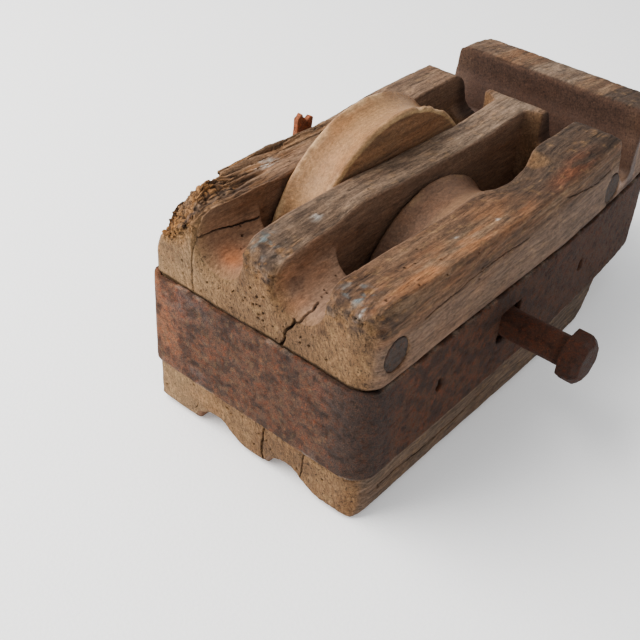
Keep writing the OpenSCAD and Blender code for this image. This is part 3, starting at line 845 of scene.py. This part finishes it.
def build_sheave(name, node, body, slot, bore, pale, seed):
    """A turned wooden wheel, its grooved rim chipped at the flanges."""
    lo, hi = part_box(node)
    centre = (lo + hi) / 2
    radius = (hi.z - lo.z) / 2
    half = (hi.x - lo.x) / 2
    ob = lathe(name, resampled(sheave_outline(half, radius, bore), 1.9 * MM), centre)
    co, n = points(ob), normals(ob)
    y, z = co[:, 1] - centre.y, co[:, 2] - centre.z
    r = np.hypot(y, z)
    angle = np.arctan2(z, y)
    across = np.abs(co[:, 0] - centre.x) / half
    on_face = ramp(np.abs(n[:, 0]), 0.6, 0.9)
    lip = ramp(r, radius - 5 * MM, radius - 1.5 * MM) * ramp(across, 0.6, 0.85)
    ring = np.stack([np.cos(angle) * radius, np.sin(angle) * radius,
                     np.sign(co[:, 0] - centre.x) * 0.5], 1)
    chips = ramp(fractal(ring, (0.02, 0.02, 0.1), seed, 4), -0.05, 0.35)
    right_hand = ramp(co[:, 0], centre.x - half * 0.2, centre.x + half * 0.2)
    sink = lip * (0.4 * MM + 2.6 * MM * chips * (0.25 + 0.75 * right_hand))
    co[:, 1] -= sink * y / np.maximum(r, MM)
    co[:, 2] -= sink * z / np.maximum(r, MM)
    board = furrows(co, (5 * MM, 90 * MM, 5 * MM), seed + 3)
    push = -0.5 * MM * board * (on_face * 0.9 + 0.1)
    push -= 0.25 * MM * (1 + fractal(co, (0.02,) * 3, seed + 5))
    turned = np.sin(r / (1.7 * MM) * math.pi) * on_face
    push -= 0.06 * MM * (1 + turned)
    co = co + n * push[:, None]
    rim_face = (1 - on_face) * ramp(r, radius * 0.7, radius * 0.8)
    blotch = fractal(co, (0.03,) * 3, seed + 11)
    streak = fractal(co, (6 * MM, 80 * MM, 6 * MM), seed + 13)
    if pale:
        tint = np.tile(linear(134, 98, 68), (len(co), 1))
        tint = mixed(tint, linear(140, 105, 70), rim_face)
        tint = mixed(tint, linear(112, 78, 50), rim_face * ramp(across, 0.3, 0.95) * 0.55)
    else:
        tint = np.tile(linear(96, 70, 51), (len(co), 1))
        tint = mixed(tint, linear(92, 67, 50), rim_face)
        # Painted light: the rim's right half lighter, where light falls into the groove
        painted_light_half = ramp(co[:, 0], centre.x, centre.x + half * 0.5)
        tint = mixed(tint, linear(118, 92, 69), rim_face * painted_light_half * 0.6)
    tint = mixed(tint, linear(88, 60, 42), ramp(streak, -0.1, -0.7) * (0.25 + 0.45 * on_face))
    tint = mixed(tint, linear(126, 84, 54), ramp(blotch, 0.1, 0.6) * 0.35)
    fresh, raw_and_highlight = (((178, 146, 106), (190, 156, 110)) if pale
                     else ((120, 92, 66), (122, 92, 64)))
    tint = mixed(tint, linear(*fresh), lip * chips * 0.75)
    # A pale line along the flanges' arrises, stronger on the right: raw wood and a painted highlight
    edge = bell(r, radius - 2.5 * MM, 2.6 * MM) * ramp(across, 0.84, 0.95)
    tint = mixed(tint, linear(*raw_and_highlight), edge * (0.45 + 0.35 * right_hand))
    seat = ramp(r, bore + 9 * MM, bore + 1 * MM) * on_face
    tint = mixed(tint, linear(60, 44, 36), seat * 0.6)
    polish = np.clip(rim_face * 0.95 + 0.25, 0, 1)
    # Dirt and painted shade: darker in the board's furrows on the faces
    dirt_and_shade = 0.35 * board * on_face
    paint(ob, "tint", tint)
    paint(ob, "marks", np.stack([np.zeros(len(co)), polish, dirt_and_shade], 1))
    set_points(ob, co)
    ob.data.materials.append(wood_material(slot, (260, 22, 260), 0.30, 0.78))
    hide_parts(node)
    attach(ob, body)


def build_bush():
    ob = worn_copy("bush_bronze", "bush", 0.9 * MM, 2)
    pits = pitted(ob, 0.15, 171, 4)
    tint = np.tile(linear(132, 104, 62), (len(pits), 1))
    green = ramp(fractal(points(ob), (0.01,) * 3, 173), 0.0, 0.6)
    tint = mixed(tint, linear(78, 84, 62), green * 0.7)
    paint(ob, "tint", tint)
    m = Nodes("dull_bronze")
    cloud = m.noise((160, 160, 160), 5, 0.65)
    colour = m.shaded(m.attribute("tint"), m.span(cloud, 0.3, 0.7, 0.65, 1.25))
    roughness = m.span(cloud, 0.3, 0.7, 0.35, 0.6)
    ob.data.materials.append(m.finish(colour, roughness, cloud, 0.0004, 0.5, 0.85))
    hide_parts("bush")
    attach(ob, "small_sheave")


# ---- Floor, light and camera -----------------------------------------------------------------

def build_floor():
    side, cells = 7.0, 28
    mesh = bpy.data.meshes.new("floor")
    bm = bmesh.new()
    bmesh.ops.create_grid(bm, x_segments=cells, y_segments=cells, size=side / 2)
    bm.to_mesh(mesh)
    bm.free()
    ob = new_object("floor", mesh)
    m = Nodes("pale_paper")
    cloth = m.noise((380, 380, 380), 2, 0.5)
    colour = m.mix((0.93, 0.93, 0.93), (0.97, 0.97, 0.97), m.span(cloth, 0.3, 0.7))
    m.shader.inputs["Emission Color"].default_value = (1, 1, 1, 1)
    m.shader.inputs["Emission Strength"].default_value = 0.2
    ob.data.materials.append(m.finish(colour, 0.95, cloth, 0.0002, 0.1))


def area_light(name, place, aim, size, watts, colour):
    light = bpy.data.lights.new(name, "AREA")
    light.shape = "RECTANGLE"
    light.size, light.size_y = size
    light.energy = watts
    light.color = colour
    ob = bpy.data.objects.new(name, light)
    ob.location = place
    ob.rotation_euler = (Vector(aim) - Vector(place)).to_track_quat("-Z", "Y").to_euler()
    bpy.context.scene.collection.objects.link(ob)


def build_light():
    area_light("key", (-1.15, -0.92, 1.5), (0, 0, 0.08), (2.0, 2.0), 128, (1.0, 0.975, 0.945))
    world = bpy.data.worlds.new("studio")
    world.use_nodes = True
    back = world.node_tree.nodes["Background"]
    back.inputs["Color"].default_value = (0.96, 0.98, 1.0, 1)
    back.inputs["Strength"].default_value = 0.85
    bpy.context.scene.world = world


def build_camera():
    place = Vector((0.3697, -0.581, 0.5628))
    yaw, pitch, roll = math.radians(37.6), math.radians(38.0), math.radians(4.4)
    flat = math.cos(pitch)
    forward = Vector((-math.sin(yaw) * flat, math.cos(yaw) * flat, -math.sin(pitch)))
    level = Vector((math.cos(yaw), math.sin(yaw), 0))
    up = level.cross(forward)
    side = math.cos(roll) * level + math.sin(roll) * up
    top = -math.sin(roll) * level + math.cos(roll) * up
    camera = bpy.data.cameras.new("camera")
    camera.lens, camera.sensor_width = 58.3, 36
    ob = bpy.data.objects.new("camera", camera)
    turn = Matrix((side, top, -forward)).transposed().to_4x4()
    turn.translation = place
    ob.matrix_world = turn
    bpy.context.scene.collection.objects.link(ob)
    bpy.context.scene.camera = ob


build_camera()
build_light()
build_floor()
build_shell()
build_strap()
build_sheave("sheave_left_wood", "sheave_left", "large_sheave", "pale_sheave_wood",
             LARGE_BORE_R, True, 200)
build_sheave("sheave_right_wood", "sheave_right", "small_sheave", "brown_sheave_wood",
             SMALL_BORE_R, False, 230)
build_bush()

pin_rust = rust_material("pin_rust", 40, 260, 0.72)
rivet_rust = rust_material("rivet_rust", 60, 300, 0.7)
key_rust = rust_material("key_rust", 60, 300, 0.85)
DARK, RIVET, ORANGE, EYE = [linear(*c) for c in ((68, 40, 27), (66, 54, 47), (142, 84, 56),
                                                 (96, 66, 50))]
build_iron("pin_iron", "pin", "pin_and_key", 0.9, 4, 0.4, DARK, pin_rust)
build_iron("pin_key_iron", "pin_key", "pin_and_key", 0.6, 3, 0.35, ORANGE, key_rust)
for part in ("rivet_tail", "rivet_crown", "rove_tail", "rove_crown"):
    build_iron(part + "_iron", part, "block", 0.7, 3, 0.25, RIVET, rivet_rust)
for part in ("strap_nails_left", "strap_nails_right"):
    build_iron(part + "_iron", part, "block", 0.5, 3, 0.15, RIVET, rivet_rust)
for part in ("crown_eye", "crown_eye_washer"):
    build_iron(part + "_iron", part, "block", 0.9, 4, 0.4, EYE, pin_rust)
